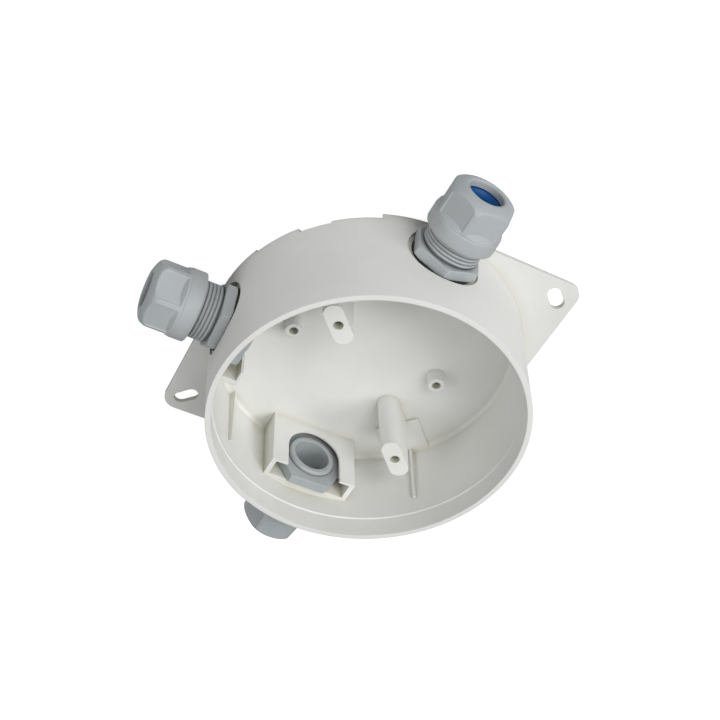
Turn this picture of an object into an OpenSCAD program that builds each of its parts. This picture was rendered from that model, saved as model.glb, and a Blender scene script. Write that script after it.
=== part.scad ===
// Detector base: an open round back box with two fixing ears and three cable glands.
// Origin: centre of the rear face. The box opens along +Z and the ears lie along X.

/* [Housing] */
// Outer radius of the wall at the open rim
rim_r = 60; // [54:0.5:70]
// Outer radius of the wall at the rear face
base_r = 61.7; // [60:0.1:74]
// Depth of the box from the rear face to the rim
box_h = 48; // [44:1:70]
// Thickness of the wall
wall_t = 2.5; // [1.8:0.1:3.2]
// Thickness of the floor
floor_t = 2.2; // [1.8:0.1:3.5]
// Radius where the floor turns into the wall
floor_fillet = 1.6; // [0.6:0.2:3]
// Depth of the rebate for the detector's skirt, measured from the rim
rebate_h = 9; // [4:0.5:12]
// Step of that rebate into the wall
rebate_step = 0.4; // [0.2:0.1:0.8]

/* [Fixing ears] */
// Distance from the centre to the sharp corner of an ear
ear_reach = 88; // [86:0.5:96]
// Distance from that corner back to the middle of the ear's slot
ear_slot_in = 11.5; // [10:0.5:12]
// Radius of the rounded corner of an ear
ear_round = 6; // [4:0.5:8]
// Thickness of an ear
ear_t = 2; // [1.5:0.1:4]
// Width of a slot
slot_w = 5.4; // [4.5:0.1:6]
// Length of a slot from end to end
slot_l = 10.2; // [8:0.1:12]

/* [Rear reliefs] */
// Width of the cable notch in the rear edge
notch_w = 12.4; // [8:0.2:16]
// Depth of the cable notch
notch_d = 3.8; // [2:0.1:4.2]
// How far the notch reaches in from the rear edge
notch_in = 12; // [8:0.5:14]
// Width of the two edge reliefs and the notch between them
relief_w = 48.8; // [30:0.2:60]
// Depth of the edge relief on the -X side of the notch
relief_d = 1.5; // [0.4:0.1:2.8]
// Depth of the edge relief on the +X side of the notch
deep_relief_d = 2.8; // [0.4:0.1:2.8]
// How far the edge reliefs reach in from the rear edge
relief_in = 1.8; // [1:0.2:1.8]

/* [Detector pillars] */
// Spacing of the two pillar screws
pillar_spacing = 70.6; // [68:0.2:76]
// Height of a pillar top above the rear face
pillar_h = 30.3; // [20:0.1:40]
// Width of a pillar at its top
pillar_w = 7.6; // [7:0.1:9]
// Length of a pillar at its top
pillar_l = 18.6; // [14:0.2:20]
// Growth of a pillar on each side down to the floor
pillar_draft = 0.6; // [0.2:0.1:0.8]
// Radius of a pillar's pilot hole
pillar_hole_r = 1.9; // [1.2:0.1:2.2]
// Depth of a pillar's pilot hole
pillar_hole_d = 20; // [8:1:24]
// Width of the pad between a pillar and the wall
pad_w = 18.4; // [16:0.2:22]
// How far a pad reaches in beside its pillar
pad_in = 3; // [1:0.5:5]
// Thickness of plastic over the cable notch and of the plain pad
pad_cover = 1; // [0.8:0.1:2]

/* [Screw bosses] */
// Distance from the centre to each small boss
boss_pcd_r = 31.4; // [28:0.2:34]
// Height of a boss top above the rear face
boss_h = 8.5; // [6:0.5:14]
// Outer radius of a boss
boss_r = 3.3; // [2.8:0.1:4]
// Radius of a boss's pilot hole
boss_hole_r = 1.75; // [1.2:0.05:2]
// Bottom of a pilot hole above the rear face
boss_hole_z = 1.2; // [1:0.1:2]

/* [Wall ribs] */
// Width of a thin wall rib
rib_w = 1.2; // [0.8:0.1:2]
// How far a rib stands in from the wall
rib_out = 1.3; // [0.8:0.1:2]
// Height of a rib's end above the rear face
rib_h = 31; // [20:0.5:36]

/* [Gland pods] */
// Height of the gland axes above the rear face
gland_z = 17; // [16.8:0.1:20]
// Distance from the centre to the gland seat in the wall
seat_d = 58.6; // [57:0.1:59]
// Thickness of the flat web that the gland clamps
web_t = 4.2; // [2:0.1:4.4]
// Gap from the seat pocket to the corners of the hexagonal flange
pocket_clear = 0.5; // [0.3:0.1:1]
// Room along the axis for the locknut
trap_l = 7.2; // [6.5:0.1:9]
// Gap between the locknut and each side of its trap
trap_side_clear = 0.25; // [0.2:0.05:1.2]
// Gap between the locknut's flat and the trap's floor
trap_floor_clear = 0.3; // [0.1:0.05:0.5]
// Thickness of the pod's face panel
panel_t = 1; // [0.8:0.1:3]
// Thickness of the pod's side walls
pod_side_t = 2.1; // [1.8:0.1:4]
// Height of a pod's top above its gland's axis
pod_rise = 12.2; // [11.5:0.1:14]
// Gap round the thread in the panel's arch
arch_clear = 1.4; // [1.2:0.1:2]
// Height of the arch's centre above the gland's axis
arch_lift = 0.9; // [0:0.1:1]
// Gap round the thread in the web
hole_clear = 0.3; // [0.15:0.05:0.5]

/* [Gland body] */
// Radius of the thread that passes into the box
entry_thread_r = 10; // [9:0.5:10]
// Length of that thread inward from the seat
entry_thread_l = 10.2; // [9.5:0.1:12]
// Distance across the flats of the flange
hex_af = 24; // [23:0.5:26]
// Thickness of the hexagonal flange
flange_t = 4.4; // [3:0.1:6]
// Radius of the thread that carries the cap nut
cap_thread_r = 11; // [10.8:0.1:11.4]
// Length of the thread that carries the cap nut
cap_thread_l = 12.6; // [10:0.2:14]
// Radius of the cable passage
passage_r = 7.5; // [6.5:0.1:7.6]
// Length of the clamping fingers
finger_l = 7; // [4:0.5:7.5]
// Outer radius of the fingers at their root
finger_r = 9.7; // [9.4:0.1:9.8]
// Outer radius of the fingers at their tip
finger_tip_r = 9; // [8.9:0.05:9.2]
// Number of fingers
finger_n = 10; // [6:1:14]
// Width of the slits between fingers
finger_slit = 0.9; // [0.5:0.1:1.4]
// Chamfer at the end of the entry thread
thread_lead = 0.7; // [0.3:0.1:1]

/* [Sealing parts] */
// Thickness of the flat washer under the flange
washer_t = 1; // [0.5:0.1:1.5]
// Outer radius of the sealing insert
seal_r = 8; // [7.6:0.1:8]
// Length of the sealing insert
seal_l = 13; // [10:0.5:13]
// Radius of the hole through the sealing insert
seal_hole_r = 4.6; // [3:0.1:5.5]
// Gap round the sealing insert
seal_clear = 0.3; // [0.2:0.05:0.4]

/* [Locknut] */
// Distance across the flats of the locknut
nut_af = 27.4; // [25:0.1:27.5]
// Thickness of the locknut
nut_t = 4.4; // [4:0.1:6]

/* [Cap nut] */
// Gap between the flange and the cap nut as shown
cap_gap = 7.5; // [5:0.5:7.5]
// Length of the cap nut
cap_l = 19; // [18:0.2:20]
// Outer radius of the round collar
cap_collar_r = 13.5; // [13.2:0.1:14]
// Length of the round collar
cap_collar_l = 6; // [4:0.5:7]
// Outer radius of the lands between the flats
cap_land_r = 13.25; // [13:0.05:13.3]
// Width of a land
cap_land_w = 2.6; // [2:0.1:3.2]
// Distance across the recessed flats
cap_flats_af = 23.8; // [23.4:0.1:24.4]
// Length of the domed nose up to the point its curve would close
cap_nose_l = 4.6; // [3.5:0.1:5]
// Radial reach of that curve
cap_nose_w = 9.3; // [8:0.1:9.6]
// Radius of the cable mouth
cap_mouth_r = 6.9; // [6:0.1:7.2]
// Length of the cable mouth
cap_mouth_l = 2.9; // [2.5:0.1:3.5]
// Running gap on the cap thread
cap_thread_clear = 0.3; // [0.2:0.05:0.4]
// Length of the cone that closes the fingers
cap_cone_l = 5.2; // [4.5:0.1:5.5]

/* [Hidden] */
$fn = 96;
eps = 0.01;

angle_a = 45;
angle_b = 135;
angle_c = 225;
gland_angles = [angle_a, angle_b, angle_c];

shell_colour = "Gainsboro";
gland_colour = "DarkGray";
seal_colour = "RoyalBlue";
washer_colour = "DimGray";

// Turn about its own axis of each gland's flange and of its cap nut
flange_turns = [24, 8, 0];
cap_turns = [9, 3, 0];

ear_slot_r = ear_reach - ear_slot_in;
rib_angles = [184.5, 271.5];
boss_angle = -45;

// Radii of the wall at a height z
function outer_at(z) = base_r + (rim_r - base_r) * z / box_h;
function inner_at(z) = outer_at(z) - wall_t;

hex_corner_r = hex_af / 2 / cos(30);
pocket_r = hex_corner_r + pocket_clear;
trap_back_d = seat_d - web_t;
trap_front_d = trap_back_d - trap_l;
pod_face_d = trap_front_d - panel_t;
trap_half_w = nut_af / 2 / cos(30) + trap_side_clear;
pod_half_w = trap_half_w + pod_side_t;
pod_top_z = gland_z + pod_rise;
notch_pad_t = notch_d + pad_cover - floor_t;

// Places along a gland's axis, counted outward from its seat
flange_s = washer_t;
thread_s = flange_s + flange_t;
finger_s = thread_s + cap_thread_l;
cap_s = thread_s + cap_gap;
cap_end_s = cap_s + cap_l;
cone_end_s = cap_end_s - cap_mouth_l;
cone_start_s = cone_end_s - cap_cone_l;
seal_end_s = cone_end_s - seal_clear;
seal_start_s = seal_end_s - seal_l;
recess_s = seal_start_s - 2;

// The nose of a cap nut stops at this angle of its curve, where the mouth begins
nose_stop = 64;
nose_start = cap_l - cap_nose_l * sin(nose_stop);

// Turns a gland part, drawn along +Z from its seat, to its place in the wall
module at_gland(angle) {
  rotate([0, 0, angle])
    translate([seat_d, 0, gland_z])
      rotate([0, 90, 0])
        children();
}

// Wall and floor as one turned profile
module cup() {
  rotate_extrude($fn = 180)
    polygon(concat(
      [[0, 0], [base_r, 0], [rim_r, box_h],
       [rim_r - wall_t + rebate_step, box_h],
       [inner_at(box_h - rebate_h) + rebate_step, box_h - rebate_h],
       [inner_at(box_h - rebate_h), box_h - rebate_h - rebate_step]],
      [for (a = [0:15:90])
        [inner_at(floor_t) - floor_fillet * (1 - cos(a)),
         floor_t + floor_fillet * (1 - sin(a))]],
      [[0, floor_t]]));
}

// Space inside the wall, which keeps inner features from passing through it
module inside_wall() {
  rotate_extrude($fn = 180)
    polygon([[0, eps], [outer_at(0) - wall_t / 2, eps],
             [outer_at(box_h) - wall_t / 2, box_h - 1], [0, box_h - 1]]);
}

// Plates of the two ears, with straight flanks and a rounded tip
module ear_plate() {
  tip = ear_reach - ear_round * sqrt(2);
  flank = ear_round / sqrt(2);
  for (side = [0, 180])
    rotate([0, 0, side]) {
      linear_extrude(ear_t)
        polygon([[0, 0], [ear_reach / 2, ear_reach / 2], [tip + flank, flank],
                 [tip + flank, -flank], [ear_reach / 2, -ear_reach / 2]]);
      translate([tip, 0, 0])
        cylinder(r = ear_round, h = ear_t);
    }
}

// A round-ended slot through an ear, turned to its direction
module ear_slot(x, turn) {
  reach = (slot_l - slot_w) / 2;
  translate([x, 0, -1])
    rotate([0, 0, turn]) {
      translate([-reach, -slot_w / 2, 0])
        cube([2 * reach, slot_w, ear_t + 2]);
      for (end = [-reach, reach])
        translate([end, 0, 0])
          cylinder(d = slot_w, h = ear_t + 2);
    }
}

// Oval column with slightly sloping sides
module pillar() {
  straight = (pillar_l - pillar_w) / 2;
  rise = pillar_h - floor_t + eps;
  translate([0, 0, floor_t - eps]) {
    for (end = [-straight, straight])
      translate([0, end, 0])
        cylinder(r1 = pillar_w / 2 + pillar_draft, r2 = pillar_w / 2, h = rise);
    rotate([90, 0, 0])
      translate([0, 0, -straight])
        linear_extrude(2 * straight)
          polygon([[-pillar_w / 2 - pillar_draft, 0], [pillar_w / 2 + pillar_draft, 0],
                   [pillar_w / 2, rise], [-pillar_w / 2, rise]]);
  }
}

module pillar_hole() {
  translate([0, 0, pillar_h - pillar_hole_d])
    cylinder(r = pillar_hole_r, h = pillar_hole_d + 1);
}

// Raised pad between a pillar and the wall
module pad(thickness) {
  start = pillar_spacing / 2 + pillar_l / 2 - pad_in;
  translate([-pad_w / 2, start, floor_t - eps])
    cube([pad_w, base_r - start, thickness + eps]);
}

module boss() {
  translate([0, 0, floor_t - eps])
    cylinder(r1 = boss_r + 0.3, r2 = boss_r, h = boss_h - floor_t + eps);
}

module boss_hole() {
  translate([0, 0, boss_hole_z])
    cylinder(r = boss_hole_r, h = boss_h);
}

module wall_rib(angle) {
  rotate([0, 0, angle])
    translate([inner_at(rib_h) - rib_out, -rib_w / 2, floor_t - eps])
      cube([base_r, rib_w, rib_h - floor_t + eps]);
}

// Block behind the wall that holds the locknut
module pod() {
  translate([pod_face_d, -pod_half_w, floor_t - eps])
    cube([base_r - pod_face_d, 2 * pod_half_w, pod_top_z - floor_t + eps]);
}

// Seat pocket, thread hole, nut trap and arch of one pod
module pod_cuts() {
  trap_floor_z = gland_z - nut_af / 2 - trap_floor_clear;
  arch_r = entry_thread_r + arch_clear;
  translate([seat_d, 0, gland_z])
    rotate([0, 90, 0])
      cylinder(r = pocket_r, h = base_r);
  translate([trap_front_d, 0, gland_z])
    rotate([0, 90, 0])
      cylinder(r = entry_thread_r + hole_clear, h = base_r);
  translate([trap_front_d, -trap_half_w, trap_floor_z])
    cube([trap_l, 2 * trap_half_w, box_h]);
  translate([pod_face_d - 1, 0, gland_z + arch_lift]) {
    rotate([0, 90, 0])
      cylinder(r = arch_r, h = panel_t + 1 + eps);
    translate([0, -arch_r, 0])
      cube([panel_t + 1 + eps, 2 * arch_r, box_h]);
  }
}

// Cable notch in the rear edge with a shallow relief on each side
module rear_reliefs() {
  translate([-notch_w / 2, base_r - notch_in, -1])
    cube([notch_w, base_r, notch_d + 1]);
  difference() {
    union() {
      translate([-relief_w / 2, 0, -1])
        cube([relief_w / 2, base_r + 1, relief_d + 1]);
      translate([0, 0, -1])
        cube([relief_w / 2, base_r + 1, deep_relief_d + 1]);
    }
    translate([0, 0, -box_h / 2])
      cylinder(r = base_r - relief_in, h = box_h, $fn = 180);
  }
}

module housing() {
  color(shell_colour)
    difference() {
      union() {
        cup();
        ear_plate();
        intersection() {
          inside_wall();
          union() {
            for (angle = gland_angles)
              rotate([0, 0, angle])
                pod();
            pad(notch_pad_t);
            rotate([0, 0, 180])
              pad(pad_cover);
            for (angle = rib_angles)
              wall_rib(angle);
          }
        }
        for (side = [-1, 1]) {
          translate([0, side * pillar_spacing / 2, 0])
            pillar();
          rotate([0, 0, boss_angle])
            translate([side * boss_pcd_r, 0, 0])
              boss();
        }
      }
      for (angle = gland_angles)
        rotate([0, 0, angle])
          pod_cuts();
      for (side = [-1, 1]) {
        translate([0, side * pillar_spacing / 2, 0])
          pillar_hole();
        rotate([0, 0, boss_angle])
          translate([side * boss_pcd_r, 0, 0])
            boss_hole();
      }
      ear_slot(ear_slot_r, 90);
      ear_slot(-ear_slot_r, 0);
      rear_reliefs();
    }
}

// Hexagonal prism with its corners turned off at both ends
module chamfered_hex(af, t, bevel) {
  corner = af / 2 / cos(30);
  intersection() {
    rotate([0, 0, 30])
      cylinder(r = corner, h = t, $fn = 6);
    rotate_extrude()
      polygon([[0, 0], [corner - bevel, 0], [corner, bevel * 0.6], [corner, t - bevel * 0.6],
               [corner - bevel, t], [0, t]]);
  }
}

module gland_body(angle, turn) {
  color(gland_colour)
    at_gland(angle)
      difference() {
        union() {
          translate([0, 0, flange_s])
            rotate([0, 0, turn])
              chamfered_hex(hex_af, flange_t, 1);
          translate([0, 0, -entry_thread_l])
            rotate_extrude()
              polygon([[0, 0], [entry_thread_r - thread_lead, 0], [entry_thread_r, thread_lead],
                       [entry_thread_r, entry_thread_l + flange_s + eps],
                       [0, entry_thread_l + flange_s + eps]]);
          translate([0, 0, thread_s - eps])
            cylinder(r = cap_thread_r, h = cap_thread_l + eps);
          translate([0, 0, finger_s - eps])
            cylinder(r1 = finger_r, r2 = finger_tip_r, h = finger_l + eps);
        }
        translate([0, 0, -entry_thread_l - 1])
          cylinder(r = passage_r, h = entry_thread_l + finger_s + 2);
        translate([0, 0, recess_s])
          cylinder(r = seal_r + seal_clear, h = cap_end_s);
        for (i = [0:finger_n - 1])
          rotate([0, 0, 360 / finger_n * i])
            translate([0, -finger_slit / 2, finger_s + 0.8])
              cube([finger_r + 1, finger_slit, finger_l]);
      }
}

module gland_washer(angle) {
  color(washer_colour)
    at_gland(angle)
      difference() {
        cylinder(r = hex_af / 2 + 0.6, h = washer_t);
        translate([0, 0, -1])
          cylinder(r = entry_thread_r + 0.1, h = washer_t + 2);
      }
}

module gland_locknut(angle) {
  color(gland_colour)
    at_gland(angle)
      translate([0, 0, -web_t - nut_t])
        difference() {
          chamfered_hex(nut_af, nut_t, 0.8);
          translate([0, 0, -1])
            cylinder(r = entry_thread_r + 0.05, h = nut_t + 2);
        }
}

// Soft tube with a flared mouth and two thin rings inside
module gland_seal(angle) {
  mouth = 1.6;
  color(seal_colour)
    at_gland(angle)
      translate([0, 0, seal_start_s])
        difference() {
          cylinder(r = seal_r, h = seal_l);
          translate([0, 0, -1])
            cylinder(r = seal_hole_r, h = seal_l + 2);
          translate([0, 0, seal_l - mouth])
            cylinder(r1 = seal_hole_r, r2 = cap_mouth_r - 0.4, h = mouth + eps);
          translate([0, 0, -eps])
            cylinder(r1 = cap_mouth_r - 0.4, r2 = seal_hole_r, h = mouth);
        }
}

// Outline of the cap nut: collar, flats region and domed nose
module cap_profile() {
  rotate_extrude()
    polygon(concat(
      [[0, 0], [cap_collar_r - 0.4, 0], [cap_collar_r, 0.4], [cap_collar_r, cap_collar_l - 0.4],
       [cap_land_r, cap_collar_l]],
      [for (a = [0:8:nose_stop])
        [cap_land_r - cap_nose_w * (1 - cos(a)), nose_start + cap_nose_l * sin(a)]],
      [[0, cap_l]]));
}

module gland_cap(angle, turn) {
  cone_l = cone_start_s - cap_s;
  mouth_bevel = 0.5;
  color(gland_colour)
    at_gland(angle)
      translate([0, 0, cap_s])
        difference() {
          cap_profile();
          for (i = [0:5])
            rotate([0, 0, 60 * i + turn])
              flat_cut(cap_flats_af / 2);
          translate([0, 0, -eps])
            rotate_extrude()
              polygon([[0, 0], [cap_thread_r + cap_thread_clear, 0],
                       [cap_thread_r + cap_thread_clear, cone_l],
                       [seal_r + seal_clear, cone_l + cap_cone_l],
                       [cap_mouth_r, cone_l + cap_cone_l],
                       [cap_mouth_r, cap_l - mouth_bevel],
                       [cap_mouth_r + mouth_bevel, cap_l + 2 * eps],
                       [0, cap_l + 2 * eps]]);
        }
}

// One recessed flat between two lands, with a sloped lower end
module flat_cut(flat_r) {
  half = cap_land_r * sin(30) - cap_land_w / 2 * cos(30);
  depth = cap_collar_r - flat_r + 1;
  rotate([90, 0, 90])
    translate([0, 0, flat_r])
      linear_extrude(depth)
        polygon([[-half, cap_collar_l + 1.2], [-half, cap_l + 1], [half, cap_l + 1],
                 [half, cap_collar_l + 1.2], [0, cap_collar_l + 0.2]]);
}

housing();
gland_body(angle_a, flange_turns[0]);  // gland_a_body
gland_washer(angle_a);  // gland_a_washer
gland_locknut(angle_a);  // gland_a_locknut
gland_seal(angle_a);  // gland_a_seal
gland_cap(angle_a, cap_turns[0]);  // gland_a_cap
gland_body(angle_b, flange_turns[1]);  // gland_b_body
gland_washer(angle_b);  // gland_b_washer
gland_locknut(angle_b);  // gland_b_locknut
gland_seal(angle_b);  // gland_b_seal
gland_cap(angle_b, cap_turns[1]);  // gland_b_cap
gland_body(angle_c, flange_turns[2]);  // gland_c_body
gland_washer(angle_c);  // gland_c_washer
gland_locknut(angle_c);  // gland_c_locknut
gland_seal(angle_c);  // gland_c_seal
gland_cap(angle_c, cap_turns[2]);  // gland_c_cap
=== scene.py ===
import logging
import math
from collections.abc import Callable, Sequence
from dataclasses import dataclass, field
from enum import Enum

import bmesh
import bpy
from mathutils import Matrix, Vector


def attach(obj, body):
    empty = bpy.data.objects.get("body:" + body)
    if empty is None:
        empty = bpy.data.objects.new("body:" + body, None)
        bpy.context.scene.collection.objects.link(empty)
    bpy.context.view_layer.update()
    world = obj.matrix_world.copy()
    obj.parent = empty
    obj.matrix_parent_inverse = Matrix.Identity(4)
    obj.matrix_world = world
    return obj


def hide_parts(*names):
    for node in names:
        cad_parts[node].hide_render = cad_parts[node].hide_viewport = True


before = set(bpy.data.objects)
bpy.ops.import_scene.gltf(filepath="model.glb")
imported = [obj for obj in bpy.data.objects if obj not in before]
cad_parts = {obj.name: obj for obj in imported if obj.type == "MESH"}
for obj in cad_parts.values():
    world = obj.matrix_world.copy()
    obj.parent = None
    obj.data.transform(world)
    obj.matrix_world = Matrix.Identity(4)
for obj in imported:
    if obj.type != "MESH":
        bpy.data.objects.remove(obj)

log = logging.getLogger("detector_base")

MM = 0.001
ROUND_STEPS = 144
HEX_STEPS = 360
HEX_ANGLE = math.radians(60)
SHARP_ANGLE = math.radians(32)
MERGE_DISTANCE = 1e-7

Point = tuple[float, float]


class Slot(Enum):
    """Names of two of the record's material slots; the script builds its own finishes and does not
    read them.
    """

    GLAND = "gland_plastic"
    SEAL = "seal_rubber"


# Finishes


class NodeMaker:
    """Short ways to add and join the nodes of one tree."""

    def __init__(self, tree: bpy.types.NodeTree) -> None:
        """Keep the tree that is filled."""
        self.tree = tree

    def add(self, kind: str, **values: object) -> bpy.types.Node:
        """Add a node and set its properties and inputs.

        Args:
            kind: Blender's node type.
            values: Properties by name, or inputs as in_NAME with _ for spaces.

        Returns:
            The new node.
        """
        node = self.tree.nodes.new(kind)
        for name, value in values.items():
            if name.startswith("in_"):
                node.inputs[name[3:].replace("_", " ")].default_value = value
            else:
                setattr(node, name, value)
        return node

    def join(self, source: bpy.types.NodeSocket, target: bpy.types.NodeSocket) -> None:
        """Link one socket to another."""
        self.tree.links.new(source, target)


@dataclass(frozen=True)
class Pattern:
    """A noise in object space: cells per metre, octaves and weight of the small octaves."""

    scale: float
    detail: float
    roughness: float


class ShaderNodes(NodeMaker):
    """Adds and joins the shader nodes of one material or world."""

    def __init__(self, owner: bpy.types.Material | bpy.types.World) -> None:
        """Clear the owner's nodes and keep its tree.

        Args:
            owner: The material or world to fill.
        """
        owner.use_nodes = True
        super().__init__(owner.node_tree)
        self.tree.nodes.clear()

    def object_noise(self, pattern: Pattern) -> bpy.types.NodeSocket:
        """Add a noise pattern in object space.

        Args:
            pattern: Scale, octaves and roughness of the noise.

        Returns:
            The noise value socket.
        """
        place = self.add("ShaderNodeTexCoord")
        noise = self.add("ShaderNodeTexNoise", in_Scale=pattern.scale, in_Detail=pattern.detail,
                         in_Roughness=pattern.roughness)
        self.join(place.outputs["Object"], noise.inputs["Vector"])
        return noise.outputs["Fac"]

    def remap(self, value: bpy.types.NodeSocket, low: float, high: float,
              to_low: float, to_high: float) -> bpy.types.NodeSocket:
        """Map a value from one range to another and clamp it.

        Args:
            value: The socket to read.
            low: Start of the source range.
            high: End of the source range.
            to_low: Result at low.
            to_high: Result at high.

        Returns:
            The mapped value socket.
        """
        node = self.add("ShaderNodeMapRange")
        for index, number in enumerate((low, high, to_low, to_high), start=1):
            node.inputs[index].default_value = number
        self.join(value, node.inputs["Value"])
        return node.outputs["Result"]

    def blend(self, factor: bpy.types.NodeSocket, first: bpy.types.NodeSocket | Sequence[float],
              second: bpy.types.NodeSocket | Sequence[float]) -> bpy.types.NodeSocket:
        """Mix two colours.

        Args:
            factor: Share of the second colour.
            first: Colour or colour socket.
            second: Colour or colour socket.

        Returns:
            The mixed colour socket.
        """
        mix = self.add("ShaderNodeMix", data_type="RGBA")
        self.join(factor, mix.inputs[0])
        for socket, colour in ((mix.inputs[6], first), (mix.inputs[7], second)):
            if isinstance(colour, bpy.types.NodeSocket):
                self.join(colour, socket)
            else:
                socket.default_value = (*colour, 1.0)
        return mix.outputs[2]


@dataclass(frozen=True)
class MouldedFinish:
    """A moulded surface with grain, mottling, a painted highlight on its edges, and dust and
    painted shade in its corners.
    """

    name: str
    colour: tuple[float, float, float]
    shade: tuple[float, float, float]
    # The edge colour paints a highlight on the edges. The corner colour paints shade into corners,
    # grooves and holes, except on the washer, where it is lighter and stands for dust.
    edge_highlight_colour: tuple[float, float, float]
    dust_and_shade_colour: tuple[float, float, float]
    roughness: float
    gloss_spread: float
    grain_size: float
    grain_height: float
    edge_radius: float
    dust_and_shade_reach: float
    dust_and_shade_share: float
    edge_highlight_share: float
    subsurface: float = 0.0
    subsurface_reach: float = 1.5 * MM
    subsurface_colour: tuple[float, float, float] = (1.0, 0.9, 0.8)
    ior: float = 1.5
    ray_samples: int = 6
    edge_match: tuple[float, float] = (0.995, 0.90)
    corner_openness: tuple[float, float] = (0.75, 0.15)
    clouds: Pattern = Pattern(45.0, 4.0, 0.55)
    cloud_range: tuple[float, float] = (0.35, 0.68)
    specks: Pattern = Pattern(1400.0, 2.0, 0.5)
    speck_range: tuple[float, float] = (0.62, 0.74)
    speck_share: float = 0.35
    gloss_patches: Pattern = Pattern(160.0, 5.0, 0.6)
    gloss_range: tuple[float, float] = (0.3, 0.7)
    edge_polish: float = -0.1
    grain_detail: float = 3.0
    grain_roughness: float = 0.6
    grain_strength: float = 0.5
    waves: Pattern = Pattern(70.0, 2.0, 0.5)
    wave_height: float = 0.12 * MM
    wave_strength: float = 0.25

    def build(self) -> bpy.types.Material:
        """Make the material.

        Returns:
            A new node material.
        """
        material = bpy.data.materials.new(self.name)
        nodes = ShaderNodes(material)
        shader = nodes.add("ShaderNodeBsdfPrincipled", in_IOR=self.ior)
        output = nodes.add("ShaderNodeOutputMaterial")
        nodes.join(shader.outputs["BSDF"], output.inputs["Surface"])
        rounded = nodes.add("ShaderNodeBevel", samples=self.ray_samples,
                            in_Radius=self.edge_radius)
        edges = self._edge_mask(nodes, rounded.outputs["Normal"])
        nodes.join(self._colour(nodes, edges), shader.inputs["Base Color"])
        nodes.join(self._roughness(nodes, edges), shader.inputs["Roughness"])
        nodes.join(self._grain(nodes, rounded.outputs["Normal"]), shader.inputs["Normal"])
        if self.subsurface > 0:
            shader.inputs["Subsurface Weight"].default_value = self.subsurface
            shader.inputs["Subsurface Scale"].default_value = self.subsurface_reach
            shader.inputs["Subsurface Radius"].default_value = self.subsurface_colour
        return material

    def _edge_mask(self, nodes: ShaderNodes,
                   rounded: bpy.types.NodeSocket) -> bpy.types.NodeSocket:
        """Find the edges, where the rounded normal leaves the flat one.

        Args:
            nodes: The material's nodes.
            rounded: Normal of the rounded edges.

        Returns:
            A mask that is 1 on an edge.
        """
        surface = nodes.add("ShaderNodeNewGeometry")
        match = nodes.add("ShaderNodeVectorMath", operation="DOT_PRODUCT")
        nodes.join(rounded, match.inputs[0])
        nodes.join(surface.outputs["Normal"], match.inputs[1])
        return nodes.remap(match.outputs["Value"], *self.edge_match, 0.0, 1.0)

    def _colour(self, nodes: ShaderNodes,
                edges: bpy.types.NodeSocket) -> bpy.types.NodeSocket:
        """Mix the flow mottling, the painted highlight on edges, and the dust and painted shade in
        corners.

        Args:
            nodes: The material's nodes.
            edges: The edge mask.

        Returns:
            The colour socket.
        """
        clouds = nodes.remap(nodes.object_noise(self.clouds), *self.cloud_range, 0.0, 1.0)
        specks = nodes.remap(nodes.object_noise(self.specks), *self.speck_range,
                             0.0, self.speck_share)
        colour = nodes.blend(clouds, self.colour, self.shade)
        colour = nodes.blend(specks, colour, self.shade)
        # Painted highlight: the edges are lightened towards the edge colour.
        edge_highlight = nodes.remap(edges, 0.0, 1.0, 0.0, self.edge_highlight_share)
        colour = nodes.blend(edge_highlight, colour, self.edge_highlight_colour)
        # Painted shade: ambient occlusion blends corners, grooves and holes towards the corner
        # colour. On the washer that colour is lighter and stands for dust.
        corners = nodes.add("ShaderNodeAmbientOcclusion", samples=self.ray_samples,
                            in_Distance=self.dust_and_shade_reach)
        corner_dust_and_shade = nodes.remap(corners.outputs["AO"], *self.corner_openness, 0.0, self.dust_and_shade_share)
        return nodes.blend(corner_dust_and_shade, colour, self.dust_and_shade_colour)

    def _roughness(self, nodes: ShaderNodes,
                   edges: bpy.types.NodeSocket) -> bpy.types.NodeSocket:
        """Vary the roughness over the surface and polish the edges.

        Args:
            nodes: The material's nodes.
            edges: The edge mask.

        Returns:
            The roughness socket.
        """
        patches = nodes.object_noise(self.gloss_patches)
        base = nodes.remap(patches, *self.gloss_range, self.roughness - self.gloss_spread,
                           self.roughness + self.gloss_spread)
        polish = nodes.add("ShaderNodeMath", operation="MULTIPLY_ADD")
        polish.inputs[1].default_value = self.edge_polish
        nodes.join(edges, polish.inputs[0])
        nodes.join(base, polish.inputs[2])
        return polish.outputs["Value"]

    def _grain(self, nodes: ShaderNodes,
               rounded: bpy.types.NodeSocket) -> bpy.types.NodeSocket:
        """Add the eroded mould grain and faint flow waves.

        Args:
            nodes: The material's nodes.
            rounded: Normal to start from.

        Returns:
            The final normal socket.
        """
        grain = nodes.object_noise(
            Pattern(1.0 / self.grain_size, self.grain_detail, self.grain_roughness))
        fine = nodes.add("ShaderNodeBump", in_Strength=self.grain_strength,
                         in_Distance=self.grain_height)
        nodes.join(grain, fine.inputs["Height"])
        nodes.join(rounded, fine.inputs["Normal"])
        waves = nodes.object_noise(self.waves)
        broad = nodes.add("ShaderNodeBump", in_Strength=self.wave_strength,
                          in_Distance=self.wave_height)
        nodes.join(waves, broad.inputs["Height"])
        nodes.join(fine.outputs["Normal"], broad.inputs["Normal"])
        return broad.outputs["Normal"]


# Each finish's edge colour is a painted highlight. Its corner colour is painted shade in corners,
# grooves and holes, except the washer's, which is lighter dust.
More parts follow.
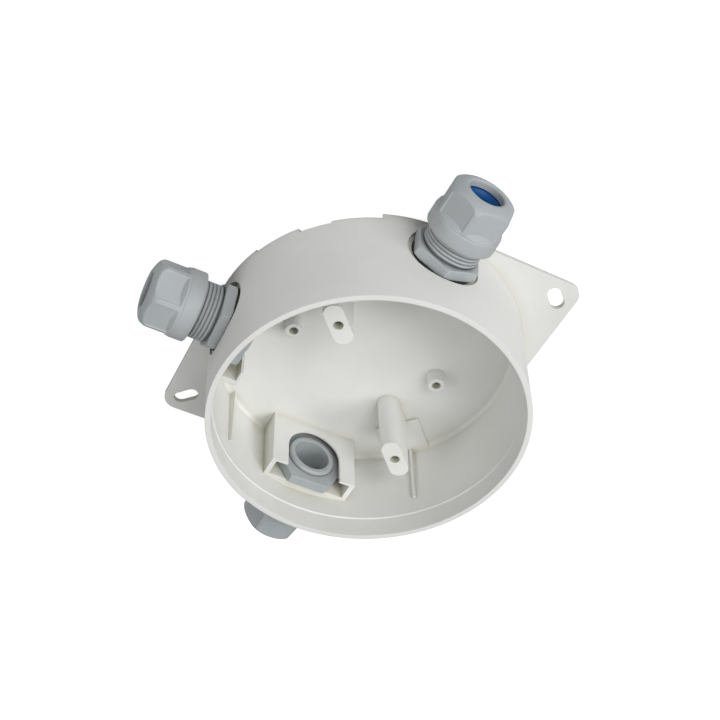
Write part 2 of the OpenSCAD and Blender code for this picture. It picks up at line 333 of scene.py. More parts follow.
SHELL_FINISH = MouldedFinish(
    name="off_white_housing_plastic", colour=(0.825, 0.827, 0.805), shade=(0.790, 0.791, 0.765),
    edge_highlight_colour=(0.87, 0.87, 0.84), dust_and_shade_colour=(0.47, 0.455, 0.31), roughness=0.44,
    gloss_spread=0.06, grain_size=0.45 * MM, grain_height=0.03 * MM, edge_radius=0.45 * MM,
    dust_and_shade_reach=8 * MM, dust_and_shade_share=0.68, edge_highlight_share=0.04, subsurface=0.06)
GLAND_FINISH = MouldedFinish(
    name="grey_gland_nylon", colour=(0.440, 0.470, 0.480), shade=(0.385, 0.412, 0.424),
    edge_highlight_colour=(0.66, 0.69, 0.70), dust_and_shade_colour=(0.050, 0.057, 0.062), roughness=0.48,
    gloss_spread=0.07, grain_size=0.30 * MM, grain_height=0.06 * MM, edge_radius=0.22 * MM,
    dust_and_shade_reach=2.0 * MM, dust_and_shade_share=0.92, edge_highlight_share=0.7, subsurface=0.03)
SEAL_FINISH = MouldedFinish(
    name="blue_sealing_rubber", colour=(0.001, 0.085, 0.300), shade=(0.001, 0.050, 0.200),
    edge_highlight_colour=(0.01, 0.30, 0.62), dust_and_shade_colour=(0.001, 0.006, 0.040), roughness=0.46,
    gloss_spread=0.06, grain_size=0.25 * MM, grain_height=0.02 * MM, edge_radius=0.2 * MM,
    dust_and_shade_reach=4 * MM, dust_and_shade_share=0.96, edge_highlight_share=0.5, ior=1.3)
WASHER_FINISH = MouldedFinish(
    name="black_washer_rubber", colour=(0.030, 0.030, 0.031), shade=(0.022, 0.022, 0.022),
    edge_highlight_colour=(0.07, 0.07, 0.07), dust_and_shade_colour=(0.05, 0.05, 0.045), roughness=0.62,
    gloss_spread=0.06, grain_size=0.2 * MM, grain_height=0.02 * MM, edge_radius=0.15 * MM,
    dust_and_shade_reach=1 * MM, dust_and_shade_share=0.4, edge_highlight_share=0.4)


# Mesh building


def fillet(corners: Sequence[tuple[float, float, float]], steps: int = 4) -> list[Point]:
    """Round the corners of a closed outline.

    Args:
        corners: Points as (radius, place, corner radius) in millimetres.
        steps: Number of segments in each rounded corner.

    Returns:
        The outline's points.
    """
    side_share = 0.48
    points: list[Point] = []
    for index, (x, y, round_r) in enumerate(corners):
        if round_r <= 0:
            points.append((x, y))
            continue
        here = Vector((x, y))
        before = Vector(corners[index - 1][:2]) - here
        after = Vector(corners[(index + 1) % len(corners)][:2]) - here
        half = before.angle(after) / 2
        reach = min(round_r / math.tan(half), before.length * side_share,
                    after.length * side_share)
        start = here + before.normalized() * reach
        end = here + after.normalized() * reach
        for step in range(steps + 1):
            t = step / steps
            point = start * (1 - t) ** 2 + here * 2 * t * (1 - t) + end * t ** 2
            points.append((point.x, point.y))
    return points


def polar_surface(name: str, outline: Sequence[Point],
                  radius_at: Callable[[float, float, float], float],
                  steps: int = ROUND_STEPS) -> bpy.types.Mesh:
    """Turn a closed outline about +Z, with a radius that may change on the way round.

    Args:
        name: Name of the mesh.
        outline: Closed outline as (radius, place along the axis) in millimetres.
        radius_at: Gives the radius from the angle, the outline's radius and the place.
        steps: Number of steps round the axis.

    Returns:
        A closed mesh in metres, with sharp edges marked.
    """
    shape = bmesh.new()
    rings = []
    for step in range(steps):
        angle = 2 * math.pi * step / steps
        ring = []
        for radius, place in outline:
            r = radius_at(angle, radius, place) * MM
            ring.append(shape.verts.new((r * math.cos(angle), r * math.sin(angle), place * MM)))
        rings.append(ring)
    for step, ring in enumerate(rings):
        following = rings[(step + 1) % steps]
        for index in range(len(outline)):
            other = (index + 1) % len(outline)
            shape.faces.new((ring[index], ring[other], following[other], following[index]))
    return finish_mesh(name, shape)


def finish_mesh(name: str, shape: bmesh.types.BMesh) -> bpy.types.Mesh:
    """Point a shape's faces outwards, mark its sharp edges and store it.

    Args:
        name: Name of the mesh.
        shape: The shape, which is freed.

    Returns:
        The finished mesh.
    """
    bmesh.ops.remove_doubles(shape, verts=shape.verts, dist=MERGE_DISTANCE)
    bmesh.ops.recalc_face_normals(shape, faces=shape.faces)
    for face in shape.faces:
        face.smooth = True
    for edge in shape.edges:
        if len(edge.link_faces) == 2:
            edge.smooth = edge.calc_face_angle(0.0) < SHARP_ANGLE
    mesh = bpy.data.meshes.new(name)
    shape.to_mesh(mesh)
    shape.free()
    return mesh


def plain_radius(_angle: float, radius: float, _place: float) -> float:
    """Keep the outline's radius, for a plainly turned shape."""
    return radius


def from_flat(angle: float) -> float:
    """Give an angle from the middle of the nearest of six flats, in radians."""
    half = HEX_ANGLE / 2
    return (angle + half) % HEX_ANGLE - half


def hex_radius(across: float, angle: float) -> float:
    """Give a hexagon's radius at an angle.

    Args:
        across: Distance across the flats.
        angle: Angle round the axis in radians, with a flat in the middle at 0.

    Returns:
        Radius in the unit of across.
    """
    return across / 2 / math.cos(from_flat(angle))


def smooth_step(value: float) -> float:
    """Ease a value from 0 to 1, flat at both ends."""
    t = min(max(value, 0.0), 1.0)
    return t * t * (3 - 2 * t)


def show(mesh: bpy.types.Mesh, place: Matrix, material: bpy.types.Material) -> bpy.types.Object:
    """Put a mesh into the scene with its place in its own points.

    Args:
        mesh: The mesh, drawn about its own axis.
        place: Where it goes.
        material: Its finish.

    Returns:
        The object at the origin.
    """
    mesh.transform(place)
    mesh.materials.clear()
    mesh.materials.append(material)
    item = bpy.data.objects.new(mesh.name, mesh)
    bpy.context.collection.objects.link(item)
    return item


# Geometry node trees


class TreeBuilder(NodeMaker):
    """Builds one geometry node tree with named size inputs."""

    def __init__(self, name: str, sizes: dict[str, float]) -> None:
        """Start a tree with its sockets.

        Args:
            name: Name of the tree.
            sizes: Float inputs and their values.
        """
        super().__init__(bpy.data.node_groups.new(name, "GeometryNodeTree"))
        self.sizes = sizes
        sockets = self.tree.interface
        sockets.new_socket("Geometry", in_out="INPUT", socket_type="NodeSocketGeometry")
        sockets.new_socket("Geometry", in_out="OUTPUT", socket_type="NodeSocketGeometry")
        self.identifiers = {
            key: sockets.new_socket(key, in_out="INPUT", socket_type="NodeSocketFloat").identifier
            for key in sizes}
        self.entry = self.tree.nodes.new("NodeGroupInput")
        self.exit = self.tree.nodes.new("NodeGroupOutput")

    def math(self, operation: str, first: bpy.types.NodeSocket | float,
             second: bpy.types.NodeSocket | float) -> bpy.types.NodeSocket:
        """Add a math node.

        Args:
            operation: Blender's name of the operation.
            first: First number or socket.
            second: Second number or socket.

        Returns:
            The result socket.
        """
        node = self.add("ShaderNodeMath", operation=operation)
        for socket, value in zip(node.inputs, (first, second)):
            if isinstance(value, bpy.types.NodeSocket):
                self.join(value, socket)
            else:
                socket.default_value = value
        return node.outputs[0]

    def end(self, geometry: bpy.types.NodeSocket, material: bpy.types.Material) -> None:
        """Realize the instances, set the material and join the output.

        Args:
            geometry: The geometry made so far.
            material: The finish.
        """
        realize = self.add("GeometryNodeRealizeInstances")
        paint = self.add("GeometryNodeSetMaterial")
        paint.inputs["Material"].default_value = material
        self.join(geometry, realize.inputs["Geometry"])
        self.join(realize.outputs["Geometry"], paint.inputs["Geometry"])
        self.join(paint.outputs["Geometry"], self.exit.inputs["Geometry"])

    def run(self, name: str, start: bpy.types.Mesh | None = None) -> bpy.types.Mesh:
        """Evaluate the tree once and keep the result as a plain mesh.

        Args:
            name: Name of the resulting mesh.
            start: Mesh that the tree reads, if it needs one.

        Returns:
            The resulting mesh.
        """
        carrier = bpy.data.objects.new(name, start or bpy.data.meshes.new(name + "_start"))
        bpy.context.collection.objects.link(carrier)
        modifier = carrier.modifiers.new(name, "NODES")
        modifier.node_group = self.tree
        for key, value in self.sizes.items():
            modifier[self.identifiers[key]] = value
        bpy.context.view_layer.update()
        evaluated = carrier.evaluated_get(bpy.context.evaluated_depsgraph_get())
        mesh = bpy.data.meshes.new_from_object(evaluated)
        bpy.data.objects.remove(carrier)
        mesh.name = name
        return mesh


@dataclass(frozen=True)
class RidgeShape:
    """Outline of a thread's ridge, as shares of its pitch and of its depth."""

    foot: float = 0.90
    crest: float = 0.36
    height: float = 1.2
    middle: float = 0.4
    steps_per_turn: int = 72


RIDGE = RidgeShape()


def helical_thread(name: str, core_r: float, depth: float, pitch: float, low: float,
                   high: float, material: bpy.types.Material) -> bpy.types.Mesh:
    """Sweep a trapezoid ridge along a helix.

    Args:
        name: Name of the mesh.
        core_r: Radius of the core that the ridge stands on, in millimetres.
        depth: Height of the ridge in millimetres.
        pitch: Distance between turns in millimetres.
        low: Start of the thread along the axis in millimetres.
        high: End of the thread along the axis in millimetres.
        material: The finish.

    Returns:
        The ridge as a mesh about +Z.
    """
    build = TreeBuilder(name + "_tree", {
        "Core Radius": core_r * MM, "Depth": depth * MM, "Pitch": pitch * MM,
        "Length": (high - low) * MM, "Start": low * MM})
    sizes = build.entry.outputs
    spiral = build.add("GeometryNodeCurveSpiral", in_Resolution=RIDGE.steps_per_turn)
    turns = build.math("DIVIDE", sizes["Length"], sizes["Pitch"])
    lift_r = build.math("MULTIPLY", sizes["Depth"], RIDGE.middle)
    middle = build.math("ADD", sizes["Core Radius"], lift_r)
    build.join(turns, spiral.inputs["Rotations"])
    build.join(middle, spiral.inputs["Start Radius"])
    build.join(middle, spiral.inputs["End Radius"])
    build.join(sizes["Length"], spiral.inputs["Height"])
    upright = build.add("GeometryNodeSetCurveNormal", mode="Z_UP")
    build.join(spiral.outputs["Curve"], upright.inputs["Curve"])
    ridge = build.add("GeometryNodeCurvePrimitiveQuadrilateral", mode="TRAPEZOID", in_Offset=0.0)
    for size, share, target in (("Pitch", RIDGE.foot, "Bottom Width"),
                                ("Pitch", RIDGE.crest, "Top Width"),
                                ("Depth", RIDGE.height, "Height")):
        build.join(build.math("MULTIPLY", sizes[size], share), ridge.inputs[target])
    turn = build.add("GeometryNodeTransform", in_Rotation=(0.0, 0.0, math.radians(-90)))
    build.join(ridge.outputs["Curve"], turn.inputs["Geometry"])
    sweep = build.add("GeometryNodeCurveToMesh", in_Fill_Caps=True)
    build.join(upright.outputs["Curve"], sweep.inputs["Curve"])
    build.join(turn.outputs["Geometry"], sweep.inputs["Profile Curve"])
    lift = build.add("GeometryNodeTransform")
    offset = build.add("ShaderNodeCombineXYZ")
    build.join(sizes["Start"], offset.inputs["Z"])
    build.join(sweep.outputs["Mesh"], lift.inputs["Geometry"])
    build.join(offset.outputs["Vector"], lift.inputs["Translation"])
    build.end(lift.outputs["Geometry"], material)
    return build.run(name)


def ring_of_copies(name: str, one: bpy.types.Mesh, count: int,
                   material: bpy.types.Material) -> bpy.types.Mesh:
    """Repeat a mesh round +Z at even steps.

    Args:
        name: Name of the mesh.
        one: The mesh to repeat, drawn at angle 0.
        count: How many copies there are.
        material: The finish.

    Returns:
        All copies as one mesh.
    """
    build = TreeBuilder(name + "_tree", {"Count": float(count)})
    points = build.add("GeometryNodePoints")
    build.join(build.entry.outputs["Count"], points.inputs["Count"])
    index = build.add("GeometryNodeInputIndex")
    step = build.math("DIVIDE", 2 * math.pi, build.entry.outputs["Count"])
    angle = build.math("MULTIPLY", index.outputs["Index"], step)
    turn = build.add("ShaderNodeCombineXYZ")
    build.join(angle, turn.inputs["Z"])
    place = build.add("GeometryNodeInstanceOnPoints")
    build.join(points.outputs["Points"], place.inputs["Points"])
    build.join(build.entry.outputs["Geometry"], place.inputs["Instance"])
    build.join(turn.outputs["Vector"], place.inputs["Rotation"])
    build.end(place.outputs["Instances"], material)
    return build.run(name, one)


# The object's pieces


@dataclass
class Housing:
    """The moulded box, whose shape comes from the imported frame."""

    node: str = "housing"
    finish: MouldedFinish = SHELL_FINISH

    def dress(self) -> None:
        """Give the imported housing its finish."""
        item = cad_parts[self.node]
        paint_node(item, self.finish.build())
        log.info("%s dressed, %d faces", item.name, len(item.data.polygons))


def paint_node(item: bpy.types.Object, material: bpy.types.Material) -> None:
    """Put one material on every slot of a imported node.

    Args:
        item: The node's object.
        material: The finish.
    """
    for index in range(len(item.material_slots)):
        item.material_slots[index].material = material


@dataclass
class GlandSizes:
    """Sizes of one cable gland in millimetres, counted outward from its seat."""

    seat_d: float = 58.6
    axis_z: float = 17.0
    web_t: float = 4.2
    hex_af: float = 24.0
    washer_t: float = 1.0
    flange_t: float = 4.4
    entry_r: float = 10.0
    entry_l: float = 10.2
    cap_thread_r: float = 11.0
    cap_thread_l: float = 12.6
    thread_depth: float = 0.9
    pitch: float = 1.5
    passage_r: float = 7.5
    recess_r: float = 8.3
    recess_s: float = 13.7
    finger_l: float = 7.0
    finger_r: float = 9.7
    finger_tip_r: float = 9.0
    finger_count: int = 10
    finger_slit: float = 0.9
    nut_af: float = 27.4
    nut_t: float = 4.4
    seal_r: float = 8.0
    seal_hole_r: float = 4.6
    seal_low: float = 15.7
    seal_high: float = 28.7
    cap_low: float = 12.9
    cap_l: float = 19.0
    collar_r: float = 13.5
    collar_l: float = 6.0
    land_r: float = 13.25
    land_w: float = 2.6
    flats_af: float = 23.2
    nose_l: float = 4.6
    nose_w: float = 9.3
    nose_stop: float = 64.0
    mouth_r: float = 6.9
    mouth_l: float = 2.9
    cone_l: float = 5.2
    bore_r: float = 11.3
    edge_round: float = 0.2
    lip_round: float = 0.3
    entry_lead: float = 0.7
    entry_land: float = 1.6
    entry_run_out: float = 2.2
    core_step: float = 0.2
    neck_l: float = 0.6
    root_l: float = 0.8
    finger_start: float = 0.6

    @property
    def thread_s(self) -> float:
        """Outer face of the flange, where the cap thread starts."""
        return self.washer_t + self.flange_t

    @property
    def finger_s(self) -> float:
        """End of the cap thread, where the fingers start."""
        return self.thread_s + self.cap_thread_l


@dataclass(frozen=True)
class HexEdges:
    """How the corners and faces of a hexagonal ring are turned off, in millimetres."""

    rim_inset: float = 0.7
    rim_step: float = 0.35
    face_drop: float = 0.1
    slope: float = 0.6
    flat_inset: float = 0.12
    turned_share: float = 0.9
    flange_bevel: float = 1.0
    nut_bevel: float = 0.8


@dataclass(frozen=True)
class CapEdges:
    """Roundings, lands and flats of the cap nut, in millimetres."""

    ease: float = 0.45
    ease_middle: float = 0.13
    shoulder_in: float = 0.06
    shoulder_l: float = 0.2
    flat_rows: int = 36
    nose_rows: int = 14
    mouth_curve: tuple[Point, ...] = ((0.6, 0.03), (0.25, 0.2), (0.05, 0.5), (0.0, 0.9))
    flat_reach: float = 3.2
    mouth_land: float = 1.0
    land_edge_in: float = 0.12
    land_edge_w: float = 0.34
    step_l: float = 0.25
    step_bow: float = 0.35
    step_slope: float = 0.95


@dataclass(frozen=True)
class InsertShape:
    """Lip, mouth and grip rings of the sealing insert, in millimetres.

    The lip's points are given out from the hole, down from the end, and by corner radius.
    """

    wall_in: float = 0.4
    lead_l: float = 1.6
    rings_start: float = 2.0
    rings_margin: float = 4.4
    ring_count: int = 3
    ring_depth: float = 0.45
    ring_places: tuple[float, ...] = (0.15, 0.45, 0.6, 0.95)
    lip_curve: tuple[tuple[float, float, float], ...] = (
        (0.0, 2.2, 0.15), (0.1, 1.5, 0.2), (1.1, 1.3, 0.25))
    mouth_in: float = 0.9


@dataclass(frozen=True)
class ThreadEnds:
    """Gaps at the ends of the thread ridges and inside the locknut, in millimetres."""

    above_flange: float = 0.7
    below_fingers: float = 0.9
    entry_tip: float = 2.4
    in_washer: float = 0.5
    nut_gap: float = 0.05


HEX_EDGES = HexEdges()
CAP_EDGES = CapEdges()
INSERT_SHAPE = InsertShape()
THREAD_ENDS = ThreadEnds()


@dataclass
class Gland:
    """One cable gland: body, washer, locknut, sealing insert and cap nut."""

    letter: str
    angle: float
    flange_turn: float
    cap_turn: float
    sizes: GlandSizes = field(default_factory=GlandSizes)

    @property
    def place(self) -> Matrix:
        """Matrix from the gland's own axis to its seat in the wall."""
        sizes = self.sizes
        return (Matrix.Rotation(math.radians(self.angle), 4, "Z")
                @ Matrix.Translation((sizes.seat_d * MM, 0, sizes.axis_z * MM))
                @ Matrix.Rotation(math.radians(90), 4, "Y"))

    def hex_ring(self, name: str, across: float, low: float, high: float, bore_r: float,
                 bevel: float, turn: float = 0.0) -> bpy.types.Mesh:
        """Make a hexagonal ring with its corners turned off.

        Args:
            name: Name of the mesh.
            across: Distance across its flats.
            low: Start along the axis.
            high: End along the axis.
            bore_r: Radius of its hole.
            bevel: How far in the turned corners start.
            turn: Turn about the axis in degrees.

        Returns:
            The ring's mesh.
        """
        edges = HEX_EDGES
        corner = across / 2 / math.cos(HEX_ANGLE / 2)
        slope = bevel * edges.slope
        rim = across / 2 - edges.rim_inset
        first, last = low + edges.face_drop, high - edges.face_drop
        outline = [(bore_r, low), (rim, low),
                   (rim + edges.rim_step, low + edges.face_drop / 2), (corner - bevel, first)]
        outline += [(corner - bevel * (1 - t), first + slope * t) for t in (0.25, 0.5, 0.75, 1.0)]
        outline += [(corner, low + (high - low) * t) for t in (0.35, 0.65)]
        outline += [(corner - bevel * t, last - slope * (1 - t)) for t in (0.0, 0.25, 0.5, 0.75)]
        outline += [(corner - bevel, last), (rim + edges.rim_step, high - edges.face_drop / 2),
                    (rim, high), (bore_r, high)]

        def radius_at(angle: float, radius: float, _place: float) -> float:
            """Cut the turned outline by the hexagon.

            Args:
                angle: Angle round the axis in radians.
                radius: Radius of the outline.

            Returns:
                The radius on the ring's surface.
            """
            if radius <= rim:
                return radius
            turned = radius < corner - bevel * edges.turned_share
            inset = edges.flat_inset if turned else 0.0
            return min(radius, hex_radius(across, angle - math.radians(turn)) - inset)

        return polar_surface(name, outline, radius_at, steps=HEX_STEPS)

    def body(self) -> bpy.types.Mesh:
        """Make the turned core of the gland body.

        Returns:
            The core's mesh, without flange, threads and fingers.
        """
        s = self.sizes
        entry_core = s.entry_r - s.thread_depth
        cap_core = s.cap_thread_r - s.thread_depth
        tip = -s.entry_l
        step = s.washer_t + s.core_step
        root = s.finger_s + s.root_l
        outline = fillet([
            (s.passage_r, tip, s.lip_round), (s.entry_r - s.entry_lead, tip, s.lip_round),
            (s.entry_r, tip + s.entry_lead, s.lip_round),
            (s.entry_r, tip + s.entry_land, s.edge_round),
            (entry_core, tip + s.entry_run_out, s.edge_round),
            (entry_core, step, 0.0), (cap_core, step, 0.0),
            (cap_core, s.finger_s - s.neck_l, s.edge_round),
            (s.finger_r, s.finger_s, s.edge_round),
            (s.finger_r, root, 0.0), (s.recess_r, root, 0.0),
            (s.recess_r, s.recess_s, s.edge_round / 2), (s.passage_r, s.recess_s, s.lip_round)])
        return polar_surface(f"gland_{self.letter}_body_core", outline, plain_radius)

    def finger(self) -> bpy.types.Mesh:
        """Make one clamping finger, a curved tongue that narrows to its tip.

        Returns:
            The finger's mesh at angle 0.
        """
        s = self.sizes
        shape = bmesh.new()
        rows, columns = 6, 5
        low, high = s.finger_s + s.finger_start, s.finger_s + s.finger_l
        half_turn = math.pi / s.finger_count
        grid: dict[tuple[int, int, int], bmesh.types.BMVert] = {}
        for row in range(rows + 1):
            t = row / rows
            outer = s.finger_r + (s.finger_tip_r - s.finger_r) * t
            for column in range(columns + 1):
                for side, radius in enumerate((s.recess_r, outer)):
                    reach = half_turn - s.finger_slit / 2 / radius
                    angle = -reach + 2 * reach * column / columns
                    grid[row, column, side] = shape.verts.new((
                        radius * MM * math.cos(angle), radius * MM * math.sin(angle),
                        (low + (high - low) * t) * MM))
        for row in range(rows):
            for column in range(columns):
                for side in (0, 1):
                    shape.faces.new([grid[row, column, side], grid[row, column + 1, side],
                                     grid[row + 1, column + 1, side], grid[row + 1, column, side]])
            for column in (0, columns):
                shape.faces.new([grid[row, column, 0], grid[row, column, 1],
                                 grid[row + 1, column, 1], grid[row + 1, column, 0]])
        for column in range(columns):
            for row in (0, rows):
                shape.faces.new([grid[row, column, 0], grid[row, column, 1],
                                 grid[row, column + 1, 1], grid[row, column + 1, 0]])
        return finish_mesh(f"gland_{self.letter}_finger", shape)

    def cap(self) -> bpy.types.Mesh:
        """Make the cap nut with its collar, recessed flats, lands and rounded nose.

        Returns:
            The cap nut's mesh.
        """
        s = self.sizes
        end = s.cap_low + s.cap_l
        collar_end = s.cap_low + s.collar_l
        stop = math.radians(s.nose_stop)
        nose = end - s.nose_l * math.sin(stop)
        cone_end = end - s.mouth_l
        cone_start = cone_end - s.cone_l
        edges = CAP_EDGES
        ease = edges.ease
        outline = [(s.bore_r, s.cap_low), (s.collar_r - ease, s.cap_low),
                   (s.collar_r - edges.ease_middle, s.cap_low + edges.ease_middle),
                   (s.collar_r, s.cap_low + ease)]
        outline += [(s.collar_r, s.cap_low + ease + (s.collar_l - 2 * ease) * t)
                    for t in (0.35, 0.7, 1.0)]
        outline += [(s.collar_r - edges.shoulder_in, collar_end - edges.shoulder_l),
                    (s.land_r, collar_end)]
        outline += [(s.land_r, collar_end + (nose - collar_end) * i / edges.flat_rows)
                    for i in range(1, edges.flat_rows)]
        for i in range(edges.nose_rows + 1):
            a = stop * i / edges.nose_rows
            outline.append((s.land_r - s.nose_w * (1 - math.cos(a)), nose + s.nose_l * math.sin(a)))
        outline += [(s.mouth_r + out, end - down) for out, down in edges.mouth_curve]
        outline += [(s.mouth_r, cone_end), (s.recess_r, cone_end), (s.bore_r, cone_start)]

        half_flat = (s.land_r * math.sin(HEX_ANGLE / 2)
                     - s.land_w / 2 * math.cos(HEX_ANGLE / 2))
        innermost = max(s.flats_af / 2 - edges.flat_reach, s.mouth_r + edges.mouth_land)

        def radius_at(angle: float, radius: float, place: float) -> float:
            """Sink the six flats between the lands.

            Args:
                angle: Angle round the axis in radians.
                radius: Radius of the outline.
                place: Place along the axis.

            Returns:
                The radius on the nut's surface.
            """
            if place <= collar_end or radius < innermost:
                return radius
            local = from_flat(angle - math.radians(self.cap_turn))
            flat = s.flats_af / 2 / math.cos(local)
            side = abs(flat * math.sin(local))
            rise = smooth_step((side - half_flat + edges.land_edge_in) / edges.land_edge_w)
            start = collar_end + edges.step_l + edges.step_bow * (side / half_flat)
            slope = s.collar_r - (place - start) * edges.step_slope
            sunk = max(flat, slope) if place > start else radius
            sunk = min(sunk, radius)
            return sunk + (radius - sunk) * rise

        return polar_surface(f"gland_{self.letter}_cap_nut", outline, radius_at, steps=HEX_STEPS)

    def seal(self) -> bpy.types.Mesh:
        """Make the soft insert with its flared mouth, inner lip and grip rings.

        Returns:
            The insert's mesh.
        """
        s = self.sizes
        shape = INSERT_SHAPE
        low, high = s.seal_low, s.seal_high
        wall, hole = s.mouth_r - shape.wall_in, s.seal_hole_r
        groove = hole + shape.ring_depth
        inner = [(wall, low, s.lip_round), (hole + shape.wall_in, low + shape.lead_l, s.lip_round)]
        span = (high - low - shape.rings_margin) / shape.ring_count
        for i in range(shape.ring_count):
            start = low + shape.rings_start + span * i
            inner += [(radius, start + span * place, s.edge_round) for radius, place
                      in zip((hole, hole, groove, groove), shape.ring_places)]
        inner += [(hole + out, high - down, round_r) for out, down, round_r in shape.lip_curve]
        inner += [(s.mouth_r - shape.mouth_in, high - shape.mouth_in, s.lip_round),
                  (wall, high, s.lip_round)]
        outer = [(s.seal_r, high, shape.wall_in), (s.seal_r, low, shape.wall_in)]
        outline = fillet(outer + inner, steps=3)
        return polar_surface(f"gland_{self.letter}_sealing_insert", outline, plain_radius)

    def build(self, gland: bpy.types.Material, seal: bpy.types.Material,
              washer: bpy.types.Material) -> None:
        """Make all pieces of the gland and set them on their bodies.

        Args:
            gland: Finish of the body, locknut and cap nut.
            seal: Finish of the sealing insert.
            washer: Finish of the washer.
        """
        s = self.sizes
        name = f"gland_{self.letter}"
        ends = THREAD_ENDS
        flange = self.hex_ring(f"{name}_flange", s.hex_af, s.washer_t, s.thread_s, s.passage_r,
                               HEX_EDGES.flange_bevel, self.flange_turn)
        cap_thread = helical_thread(
            f"{name}_cap_thread", s.cap_thread_r - s.thread_depth, s.thread_depth, s.pitch,
            s.thread_s + ends.above_flange, s.finger_s - ends.below_fingers, gland)
        entry_thread = helical_thread(
            f"{name}_entry_thread", s.entry_r - s.thread_depth, s.thread_depth, s.pitch,
            -s.entry_l + ends.entry_tip, s.washer_t - ends.in_washer, gland)
        fingers = ring_of_copies(f"{name}_fingers", self.finger(), s.finger_count, gland)
        fixed = [self.body(), flange, cap_thread, entry_thread, fingers]
        core = self.seat(fixed[0], gland, "base", f"{name}_body")
        for mesh in fixed[1:]:
            self.seat(mesh, gland, "base")
        nut_low = -s.web_t - s.nut_t
        locknut = self.hex_ring(f"{name}_lock_ring", s.nut_af, nut_low, -s.web_t,
                                s.entry_r + ends.nut_gap, HEX_EDGES.nut_bevel)
        self.seat(locknut, gland, "base", f"{name}_locknut")
        self.seat(self.seal(), seal, f"{name}_insert", f"{name}_seal")
        self.seat(self.cap(), gland, f"{name}_nut", f"{name}_cap")
        paint_node(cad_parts[f"{name}_washer"], washer)
        log.info("%s built round %s at %.0f degrees", name, core.name, self.angle)

    def seat(self, mesh: bpy.types.Mesh, material: bpy.types.Material, body: str,
             node: str | None = None) -> bpy.types.Object:
        """Set one piece in its place on a body.

        Args:
            mesh: The piece about its own axis.
            material: Its finish.
            body: The body that it rides on.
            node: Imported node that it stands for, if any.

        Returns:
            The piece's object.
        """
        item = show(mesh, self.place, material)
        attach(item, body)
        if node:
            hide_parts(node)
        log.info("piece %s on %s", item.name, body)
        return item


# Studio


@dataclass(frozen=True)
class Lamp:
    """A square soft lamp that faces the object."""

    name: str
    place: tuple[float, float, float]
    power: float
    size: float = 0.6

    def build(self) -> None:
        """Put the lamp into the scene."""
        data = bpy.data.lights.new(self.name, "AREA")
        data.size = self.size
        data.energy = self.power
        lamp = bpy.data.objects.new(self.name, data)
        lamp.location = self.place
        lamp.rotation_euler = (-Vector(self.place)).to_track_quat("-Z", "Y").to_euler()
        bpy.context.collection.objects.link(lamp)


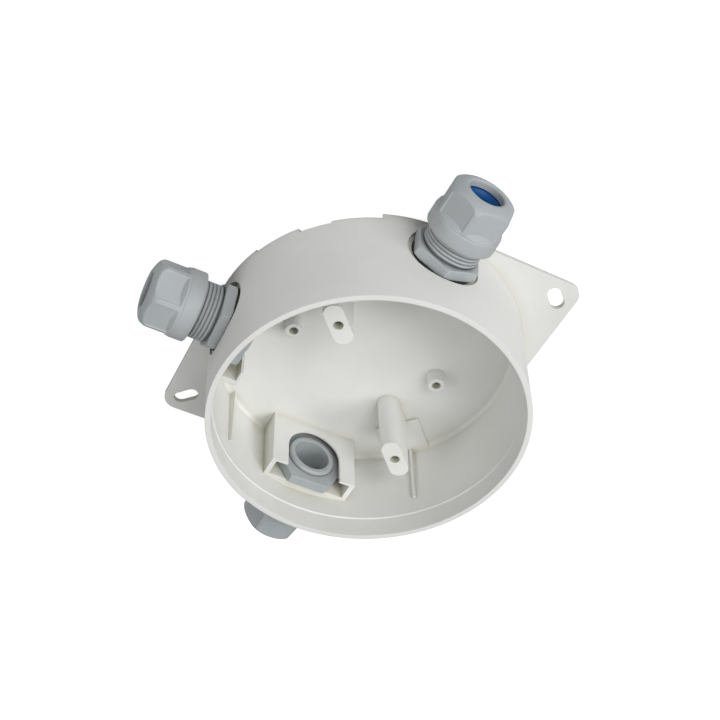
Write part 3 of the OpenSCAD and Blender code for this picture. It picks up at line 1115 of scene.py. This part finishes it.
@dataclass
class Studio:
    """White surroundings, soft lamps and the photograph's camera."""

    floor_half: float = 3.0
    floor_z: float = -0.0003
    sky: float = 0.10
    floor_colour: tuple[float, float, float] = (0.65, 0.65, 0.65)
    floor_glow: float = 0.80
    camera_place: tuple[float, float, float] = (0.08363, 0.29637, 0.38327)
    camera_right: tuple[float, float, float] = (0.95206, -0.30510, 0.02216)
    camera_down: tuple[float, float, float] = (-0.24913, -0.73129, 0.63494)
    lens: float = 62.09
    sensor: float = 36.0
    clip_start: float = 0.01
    clip_end: float = 50.0
    lamps: tuple[Lamp, ...] = (
        Lamp("right_lamp", (1.04, 0.0, 0.94), 7.0),
        Lamp("front_lamp", (0.74, 0.74, 0.94), 6.6),
        Lamp("left_lamp", (-0.74, 0.74, 0.94), 3.8),
        Lamp("far_left_lamp", (-1.04, 0.0, 0.94), 1.6),
        Lamp("top_lamp", (0.52, 0.0, 1.30), 2.8))

    def build(self) -> None:
        """Make the world, the floor, the lamps and the camera."""
        self._world()
        self._floor()
        for lamp in self.lamps:
            lamp.build()
        self._camera()
        bpy.context.scene.view_settings.view_transform = "Standard"

    def _world(self) -> None:
        """Light the scene evenly and show white to what sees it directly."""
        world = bpy.data.worlds.new("white_room")
        bpy.context.scene.world = world
        nodes = ShaderNodes(world)
        output = nodes.add("ShaderNodeOutputWorld")
        background = nodes.add("ShaderNodeBackground", in_Color=(1, 1, 1, 1))
        rays = nodes.add("ShaderNodeLightPath")
        seen = rays.outputs["Is Camera Ray"]
        for kind in ("Is Glossy Ray", "Is Transmission Ray"):
            larger = nodes.add("ShaderNodeMath", operation="MAXIMUM")
            nodes.join(seen, larger.inputs[0])
            nodes.join(rays.outputs[kind], larger.inputs[1])
            seen = larger.outputs["Value"]
        strength = nodes.remap(seen, 0.0, 1.0, self.sky, 1.0)
        nodes.join(strength, background.inputs["Strength"])
        nodes.join(background.outputs["Background"], output.inputs["Surface"])

    def _floor(self) -> None:
        """Lay a pale floor that reads white and still takes a soft shadow."""
        half = self.floor_half
        mesh = bpy.data.meshes.new("studio_floor")
        mesh.from_pydata([(-half, -half, self.floor_z), (half, -half, self.floor_z),
                          (half, half, self.floor_z), (-half, half, self.floor_z)],
                         [], [(0, 1, 2, 3)])
        floor = bpy.data.objects.new("studio_floor", mesh)
        bpy.context.collection.objects.link(floor)
        material = bpy.data.materials.new("white_floor")
        nodes = ShaderNodes(material)
        output = nodes.add("ShaderNodeOutputMaterial")
        paper = nodes.add("ShaderNodeBsdfDiffuse", in_Color=(*self.floor_colour, 1))
        glow = nodes.add("ShaderNodeEmission", in_Color=(1, 1, 1, 1))
        rays = nodes.add("ShaderNodeLightPath")
        strength = nodes.remap(rays.outputs["Is Camera Ray"], 0.0, 1.0, 0.0, self.floor_glow)
        both = nodes.add("ShaderNodeAddShader")
        nodes.join(strength, glow.inputs["Strength"])
        nodes.join(paper.outputs["BSDF"], both.inputs[0])
        nodes.join(glow.outputs["Emission"], both.inputs[1])
        nodes.join(both.outputs["Shader"], output.inputs["Surface"])
        mesh.materials.append(material)

    def _camera(self) -> None:
        """Place the camera where the photograph was taken."""
        data = bpy.data.cameras.new("photo_camera")
        data.lens = self.lens
        data.sensor_width = self.sensor
        data.clip_start = self.clip_start
        data.clip_end = self.clip_end
        camera = bpy.data.objects.new("photo_camera", data)
        right = Vector(self.camera_right).normalized()
        up = -Vector(self.camera_down).normalized()
        back = right.cross(up).normalized()
        up = back.cross(right)
        turn = Matrix((right, up, back)).transposed().to_4x4()
        camera.matrix_world = Matrix.Translation(self.camera_place) @ turn
        bpy.context.collection.objects.link(camera)
        bpy.context.scene.camera = camera


def main() -> None:
    """Build the studio and dress every piece of the detector base."""
    logging.basicConfig(level=logging.INFO, format="%(message)s")
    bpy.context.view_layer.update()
    Studio().build()
    Housing().dress()
    gland_finish = GLAND_FINISH.build()
    seal_finish = SEAL_FINISH.build()
    washer_finish = WASHER_FINISH.build()
    for gland in (Gland("a", 45.0, 24.0, 13.0), Gland("b", 135.0, 10.0, -5.0),
                  Gland("c", 225.0, 0.0, 0.0)):
        gland.build(gland_finish, seal_finish, washer_finish)


if __name__ == "__main__":
    main()
